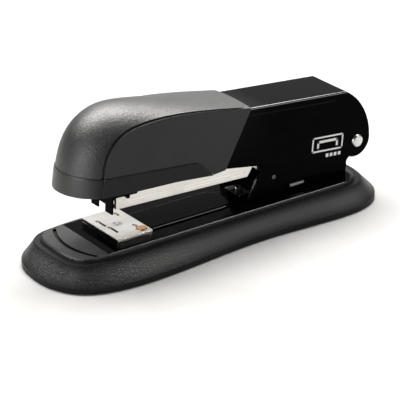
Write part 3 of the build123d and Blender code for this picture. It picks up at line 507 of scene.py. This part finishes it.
def build_cap():
    """Textured cap: flat sides, a fine groove along the crease and the wrapped nose and top."""
    stations, side_rows = 150, 9
    edge = cap_lower_edge()
    start_y = crease(seam_along)[0][0]
    points = []
    for i in range(stations + 1):
        along = seam_along + (1 - seam_along) * i / stations
        (y, z), (dy, dz) = crease(along)
        half = half_width(y)
        share = (y - start_y) / (GRIP_REAR_Y - start_y)
        low_y, low_z = read_polyline(edge, share)
        side = []
        for k in range(side_rows):
            part = k / side_rows
            place_y = low_y + (y - low_y) * part
            place_z = low_z + (z - low_z) * part
            side.append((half_width(place_y), place_y, place_z))
        depth = GROOVE_DEPTH * min(1.0, GROOVE_FADE * (1 - i / stations))
        crown = wrapped_arc(along, ARC_POINTS, trim=GROOVE_WIDTH)
        right = side + [(half, y, z), groove_floor((half, y, z), crown[0], (dy, dz), depth)]
        left = [(-x, yy, zz) for x, yy, zz in reversed(right)]
        points += right + crown + left
    columns = 2 * (side_rows + 2) + ARC_POINTS
    made = piece("grip_shell", points, grid_faces(stations + 1, columns), "grip_plastic", "arm", 28)
    thicken(made, GRIP_WALL, CAP_EDGE_R)
    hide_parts("grip_cap")


def band_top(y):
    """Upper edge of the band in side view: the seam, a round corner, then down to the rear point."""
    if y < CORNER_Y:
        return seam_height(y)
    if y < SLOPE_TOP_Y:
        return corner_z + math.sqrt(max(0.0, CORNER_R ** 2 - (y - CORNER_Y) ** 2)) - CORNER_GAP
    return SLOPE_TOP_Z - (y - SLOPE_TOP_Y) * SLOPE_FALL


def band_foot(y):
    """Lower edge of the band in side view."""
    return float(np.interp(y, BAND_FOOT_Y, BAND_FOOT_Z))


def build_band():
    """Smooth lower band, a little proud of the cap, with its ledge at the seam."""
    rows, side_steps = 7, 26
    points = []
    for k in range(rows + 1):
        part = k / rows
        along = foot_along + (seam_along - foot_along) * part
        (y0, z0), direction = crease(along)
        half = half_width(y0) + BAND_PROUD
        side = []
        for step in range(side_steps):
            share = 1 - step / side_steps
            y = y0 + (BAND_TAIL_Y - y0) * share
            low, high = band_foot(y), band_top(y)
            side.append((half_width(y) + BAND_PROUD, y, low + (high - low) * part))
        arc = wrapped_arc(along, ARC_POINTS, BAND_PROUD, BAND_GROOVE)
        side += [(half, y0, z0), groove_floor((half, y0, z0), arc[0], direction, BAND_GROOVE * 0.5)]
        points += side + arc + [(-x, y, z) for x, y, z in reversed(side)]
    columns = 2 * (side_steps + 2) + ARC_POINTS
    made = piece("grip_skirt", points, grid_faces(rows + 1, columns), "band_plastic", "arm", 8)
    thicken(made, GRIP_WALL + BAND_PROUD, BAND_EDGE_R)
    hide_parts("grip_band")


build_cap()
build_band()


# ------------------------------------------------------------------ places given along the magazine
hinge = next(joint for joint in frame["joints"] if joint["name"] == "magazine_hinge")
PIVOT_Y, PIVOT_Z = (value / MM for value in hinge["pos_m"][1:])
MAG_TILT = math.radians(2.19)


def on_magazine(u, w, x=0.0):
    """A point u back along the magazine from the pivot and w above it, in millimetres."""
    y = PIVOT_Y + u * math.cos(MAG_TILT) + w * math.sin(MAG_TILT)
    z = PIVOT_Z - u * math.sin(MAG_TILT) + w * math.cos(MAG_TILT)
    return Vector((x, y, z))


# ------------------------------------------------------------------ staples
FLOOR_TOP = -5.2
STAPLE_FOOT = FLOOR_TOP + 0.05
CROWN_TOP = FLOOR_TOP + 6.55
STAPLE_HALF, STAPLE_BEND, STAPLE_INNER_BEND = 6.35, 0.9, 0.35
STAPLE_PITCH, STAPLE_GAP, STAPLE_WIRE = 0.51, 0.05, 0.56
STAPLE_COUNT = 39
FIRST_STAPLE_U = -115.1


def staple_outline(half, top, foot, bend):
    """One staple's outline across the magazine, from one leg's foot to the other's."""
    points = [(-half, foot)]
    for side, start in ((-1, 180), (1, 90)):
        for step in range(QUARTER_POINTS):
            turn = math.radians(start - step * QUARTER_STEP)
            across = side * (half - bend) + bend * math.cos(turn)
            points.append((across, top - bend + bend * math.sin(turn)))
    points.append((half, foot))
    return points


def build_staples():
    """The strip as separate wires, side by side, each bent round at its shoulders."""
    wire = STAPLE_WIRE
    outer = staple_outline(STAPLE_HALF, CROWN_TOP, STAPLE_FOOT, STAPLE_BEND)
    inner = staple_outline(STAPLE_HALF - wire, CROWN_TOP - wire, STAPLE_FOOT, STAPLE_INNER_BEND)
    count = len(outer)
    points, faces = [], []
    for number in range(STAPLE_COUNT):
        front = FIRST_STAPLE_U + number * STAPLE_PITCH
        first = len(points)
        for u in (front, front + STAPLE_PITCH - STAPLE_GAP):
            points += [on_magazine(u, w, x) for x, w in outer]
            points += [on_magazine(u, w, x) for x, w in inner]
        for k in range(count - 1):
            out_a, in_a = first + k, first + count + k
            out_b, in_b = out_a + 2 * count, in_a + 2 * count
            faces.append((out_a, out_a + 1, in_a + 1, in_a))
            faces.append((out_b, in_b, in_b + 1, out_b + 1))
            faces.append((out_a, out_b, out_b + 1, out_a + 1))
            faces.append((in_a, in_a + 1, in_b + 1, in_b))
        for k in (0, count - 1):
            a, b = first + k, first + count + k
            faces.append((a, b, b + 2 * count, a + 2 * count))
    made = piece("staple_sticks", points, faces, "staple_wire", "magazine", 30)
    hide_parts("staple_strip")


build_staples()


# ------------------------------------------------------------------ springs
def helix(centre, axis, across, up, radius, length, turns, per_turn=20):
    """Points of a coil that starts at centre and runs along axis; its ends are wound closer."""
    path = []
    steps = int(turns * per_turn)
    for i in range(steps + 1):
        share = i / steps
        eased = share - 0.5 / math.pi / turns * math.sin(2 * math.pi * share)
        turn = 2 * math.pi * turns * share
        outwards = across * math.cos(turn) + up * math.sin(turn)
        path.append(centre + axis * length * eased + outwards * radius)
    return path


mag_back = on_magazine(1, 0) - on_magazine(0, 0)
mag_up = on_magazine(0, 1) - on_magazine(0, 0)
cross = Vector((1, 0, 0))

# the pusher's coil, on its rod
ROD_W = -2.0
COIL_START_U, COIL_LENGTH = -86.45, 38.6
PUSH_COIL_R, PUSH_TURNS, PUSH_WIRE_R = 1.75, 16, 0.225
coil_start = on_magazine(COIL_START_U, ROD_W)
push_path = helix(coil_start, mag_back, cross, mag_up, PUSH_COIL_R, COIL_LENGTH, PUSH_TURNS)
push_coil = piece("pusher_coil", *tube(push_path, PUSH_WIRE_R, 8), "spring_steel", "magazine", 60)
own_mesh(push_coil)
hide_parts("pusher_spring")

# the anvil's coil, between its button and the plate
LIFT_COIL_R, LIFT_TURNS, LIFT_WIRE_R = 3.2, 3, 0.25
low, high = (Vector(corner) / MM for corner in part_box("anvil_spring"))
coil_foot = Vector(((low.x + high.x) / 2, (low.y + high.y) / 2, low.z + LIFT_WIRE_R))
coil_height = high.z - low.z - 2 * LIFT_WIRE_R
back, up = Vector((0, 1, 0)), Vector((0, 0, 1))
lift_path = helix(coil_foot, up, cross, back, LIFT_COIL_R, coil_height, LIFT_TURNS, 28)
lift_coil = piece("anvil_coil", *tube(lift_path, LIFT_WIRE_R, 8), "spring_steel", "base", 60)
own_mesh(lift_coil)
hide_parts("anvil_spring")


TWIST_STEP = 15    # degrees between points of the torsion coil
LEG_DROP = 0.1
HOOK = (Vector((0, -0.6, -1.2)), Vector((0, -0.5, -0.4)))
CURL = Vector((0, -0.7, 0.55))
FORWARD_SHARES = (0, 0.3, 0.6, 0.9)
UPWARD_SHARES = (0.1, 0.4, 0.7, 0.95)


def torsion_path(radius, half, turns, low_turn, high_turn, low_leg, high_leg):
    """A torsion spring's wire: forward leg, coil round the pivot, then the leg under the arm's roof."""
    swept = 360 * turns + low_turn - (high_turn - 360)
    steps = int(swept / TWIST_STEP)
    coil = []
    for i in range(steps + 1):
        turn = math.radians(low_turn - swept * i / steps)
        x = -half + 2 * half * i / steps
        coil.append(on_magazine(radius * math.cos(turn), radius * math.sin(turn), x))
    lower = on_magazine(-low_leg, radius - LEG_DROP, -half)
    hook = [lower + offset for offset in HOOK]
    last = math.radians(high_turn)
    rise = mag_back * math.sin(last) - mag_up * math.cos(last)
    forward = [lower + (coil[0] - lower) * share for share in FORWARD_SHARES]
    upward = [coil[-1] + rise * high_leg * share for share in UPWARD_SHARES]
    return hook + forward + coil + upward + [upward[-1] + CURL]


# the arm's torsion coil, round the pivot
TWIST_R, TWIST_HALF, TWIST_TURNS, TWIST_WIRE_R = 2.9, 4.2, 5, 0.35
LOWER_LEG_AT, UPPER_LEG_AT = 90.0, 203.5
LOWER_LEG, UPPER_LEG = 24.5, 24.2
twist_path = torsion_path(
    TWIST_R, TWIST_HALF, TWIST_TURNS, LOWER_LEG_AT, UPPER_LEG_AT, LOWER_LEG, UPPER_LEG
)
twist = piece("hinge_coil", *tube(twist_path, TWIST_WIRE_R, 10), "spring_steel", None, 60)
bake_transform(twist)
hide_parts("arm_spring")


LEAF_HALF, LEAF_FLAT_HALF, LEAF_HALF_THICK = 5.0, 4.85, 0.26
LEAF_BOW = (34.0, 16.8)
LEAF_STEPS = 40


def build_leaf():
    """Flat return spring under the magazine: a bowed ribbon with rounded edges."""
    low, high = (Vector(corner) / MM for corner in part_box("return_spring"))
    roller_low, roller_high = (Vector(corner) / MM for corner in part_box("magazine_roller"))
    roller_y = (roller_low.y + roller_high.y) / 2
    # the riveted foot lies flat, and the free end rises to the roller and dips behind it
    knots = (
        (low.y, low.z + 0.3),
        (low.y + 5, low.z + 0.3),
        (low.y + 10.3, low.z + 0.35),
        LEAF_BOW,
        (roller_y - 1.0, roller_low.z - 0.45),
        (high.y - 0.2, roller_low.z - 1.7),
    )
    curve = natural_spline(knots)
    section = (
        (LEAF_HALF, 0.0),
        (LEAF_FLAT_HALF, LEAF_HALF_THICK),
        (-LEAF_FLAT_HALF, LEAF_HALF_THICK),
        (-LEAF_HALF, 0.0),
        (-LEAF_FLAT_HALF, -LEAF_HALF_THICK),
        (LEAF_FLAT_HALF, -LEAF_HALF_THICK),
    )
    around = len(section)
    points = []
    for i in range(LEAF_STEPS + 1):
        (y, z), (dy, dz) = curve(i / LEAF_STEPS)
        points += [(x, y - dz * out, z + dy * out) for x, out in section]
    faces = grid_faces(LEAF_STEPS + 1, around, closed=True)
    last = LEAF_STEPS * around
    faces += [tuple(range(around))[::-1], tuple(range(last, last + around))]
    made = piece("return_leaf", points, faces, "spring_steel", "base", 40)
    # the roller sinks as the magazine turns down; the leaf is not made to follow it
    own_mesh(made)
    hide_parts("return_spring")


build_leaf()


# ------------------------------------------------------------------ printed mark on the arm's side
def rounded_box(y0, z0, y1, z1, radius):
    """Corner-rounded rectangle in the side plane, as (y, z) points."""
    points = []
    for cy, cz, start in ((y1, z1, 0), (y0, z1, 90), (y0, z0, 180), (y1, z0, 270)):
        inner_y = cy - radius if cy == y1 else cy + radius
        inner_z = cz - radius if cz == z1 else cz + radius
        for step in range(QUARTER_POINTS):
            turn = math.radians(start + step * QUARTER_STEP)
            points.append((inner_y + radius * math.cos(turn), inner_z + radius * math.sin(turn)))
    return points


PRINT_Y, PRINT_Z, PRINT_TILT = 53.0, 27.8, -4.8
FRAME_HALF_Y, FRAME_HALF_Z, FRAME_LINE = 8.0, 3.3, 0.7
MARK_HALF, MARK_TOP, MARK_THICK, MARK_FOOT = 5.4, 1.6, 1.1, -1.7
LEG_WIDE = 1.0
BAR_COUNT, FIRST_BAR, BAR_PITCH, BAR_WIDE = 4, -0.4, 2.1, 1.4
BAR_FOOT, BAR_TOP = -6.0, -4.5
FRAME_CORNER, MARK_CORNER = 0.2, 0.3
INK_DEPTH, INK_PROUD = -0.03, 0.02


def print_shapes():
    """Outlines of the pictogram, round its own middle: a framed staple over a row of short bars."""
    inner_y, inner_z = FRAME_HALF_Y - FRAME_LINE, FRAME_HALF_Z - FRAME_LINE
    shapes = [
        rounded_box(-FRAME_HALF_Y, inner_z, FRAME_HALF_Y, FRAME_HALF_Z, FRAME_CORNER),
        rounded_box(-FRAME_HALF_Y, -FRAME_HALF_Z, FRAME_HALF_Y, -inner_z, FRAME_CORNER),
        rounded_box(-FRAME_HALF_Y, -FRAME_HALF_Z, -inner_y, FRAME_HALF_Z, FRAME_CORNER),
        rounded_box(inner_y, -FRAME_HALF_Z, FRAME_HALF_Y, FRAME_HALF_Z, FRAME_CORNER),
        rounded_box(-MARK_HALF, MARK_TOP - MARK_THICK, MARK_HALF, MARK_TOP, MARK_CORNER),
        rounded_box(-MARK_HALF, MARK_FOOT, -MARK_HALF + LEG_WIDE, MARK_TOP, MARK_CORNER),
        rounded_box(MARK_HALF - LEG_WIDE, MARK_FOOT, MARK_HALF, MARK_TOP, MARK_CORNER),
    ]
    for number in range(BAR_COUNT):
        left = FIRST_BAR + number * BAR_PITCH
        shapes.append(rounded_box(left, BAR_FOOT, left + BAR_WIDE, BAR_TOP, FRAME_CORNER))
    return shapes


def build_print():
    """The pictogram in white ink on the arm's right side."""
    tilt = math.radians(PRINT_TILT)
    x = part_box("arm")[1].x / MM
    points, faces = [], []
    for shape in print_shapes():
        first = len(points)
        for lift in (INK_DEPTH, INK_PROUD):
            for y, z in shape:
                turned_y = PRINT_Y + y * math.cos(tilt) - z * math.sin(tilt)
                turned_z = PRINT_Z + y * math.sin(tilt) + z * math.cos(tilt)
                points.append((x + lift, turned_y, turned_z))
        count = len(shape)
        faces.append(tuple(first + count + k for k in range(count)))
        for k in range(count):
            beside = (k + 1) % count
            faces.append((first + k, first + beside, first + count + beside, first + count + k))
        faces.append(tuple(first + k for k in reversed(range(count))))
    piece("side_print", points, faces, "white_ink", "arm", 40)


build_print()


# ------------------------------------------------------------------ floor, light and camera
def area_light(name, place, target, size, power, colour):
    """A rectangular soft light that faces target."""
    lamp = bpy.data.lights.new(name, "AREA")
    lamp.shape = "RECTANGLE"
    lamp.size, lamp.size_y = size
    lamp.energy = power
    lamp.color = colour
    holder = bpy.data.objects.new(name, lamp)
    holder.location = place
    holder.rotation_euler = (Vector(target) - Vector(place)).to_track_quat("-Z", "Y").to_euler()
    bpy.context.collection.objects.link(holder)


FLOOR_REACH = 3.0
floor_corners = [(x * FLOOR_REACH, y * FLOOR_REACH, 0) for x, y in ((-1, -1), (1, -1), (1, 1), (-1, 1))]
floor_mesh = bpy.data.meshes.new("floor")
floor_mesh.from_pydata(floor_corners, [], [(0, 1, 2, 3)])
floor = bpy.data.objects.new("floor", floor_mesh)
bpy.context.collection.objects.link(floor)
floor_material, floor_tree, floor_shader, floor_coords = new_material("floor_paper", 0.7)
paper = noise(floor_tree, floor_coords.outputs["Object"], 30, 3)
paper_tone = two_tone(floor_tree, paper, (0.42, 0.42, 0.42), (0.45, 0.45, 0.45))
floor_tree.links.new(paper_tone, floor_shader.inputs["Base Color"])
floor_mesh.materials.append(floor_material)

AMBIENT = 0.07
world = bpy.data.worlds.new("studio")
bpy.context.scene.world = world
world.use_nodes = True
world.node_tree.nodes["Background"].inputs["Color"].default_value = (1, 1, 1, 1)
world.node_tree.nodes["Background"].inputs["Strength"].default_value = AMBIENT

MIDDLE = (0, 0, 0.03)
WARM_WHITE, WHITE = (1.0, 0.985, 0.955), (1, 1, 1)
# place, size, watts and colour
LIGHTS = {
    "key": ((-0.31, 0.14, 0.83), (1.3, 0.5), 28, WARM_WHITE),
    "back": ((-0.75, 0.55, 0.36), (1.1, 0.5), 1.6, WHITE),
    "right_back": ((0.6, 0.65, 0.4), (0.6, 0.4), 1.5, WHITE),
    "front": ((0.30, -0.95, 0.24), (0.7, 0.45), 3.6, WHITE),
}
for name, (place, size, power, colour) in LIGHTS.items():
    area_light(name, place, MIDDLE, size, power, colour)

CAMERA_PLACE = (0.6309, -0.45915, 0.3665)
CAMERA_TILT, CAMERA_TURN = 65.6, 54.1
LENS_MM, SENSOR_MM = 194.1, 36
camera_data = bpy.data.cameras.new("camera")
camera_data.lens = LENS_MM
camera_data.sensor_width = SENSOR_MM
camera = bpy.data.objects.new("camera", camera_data)
camera.location = CAMERA_PLACE
camera.rotation_euler = (math.radians(CAMERA_TILT), 0, math.radians(CAMERA_TURN))
bpy.context.collection.objects.link(camera)
bpy.context.scene.camera = camera
bpy.context.scene.view_settings.view_transform = "Standard"
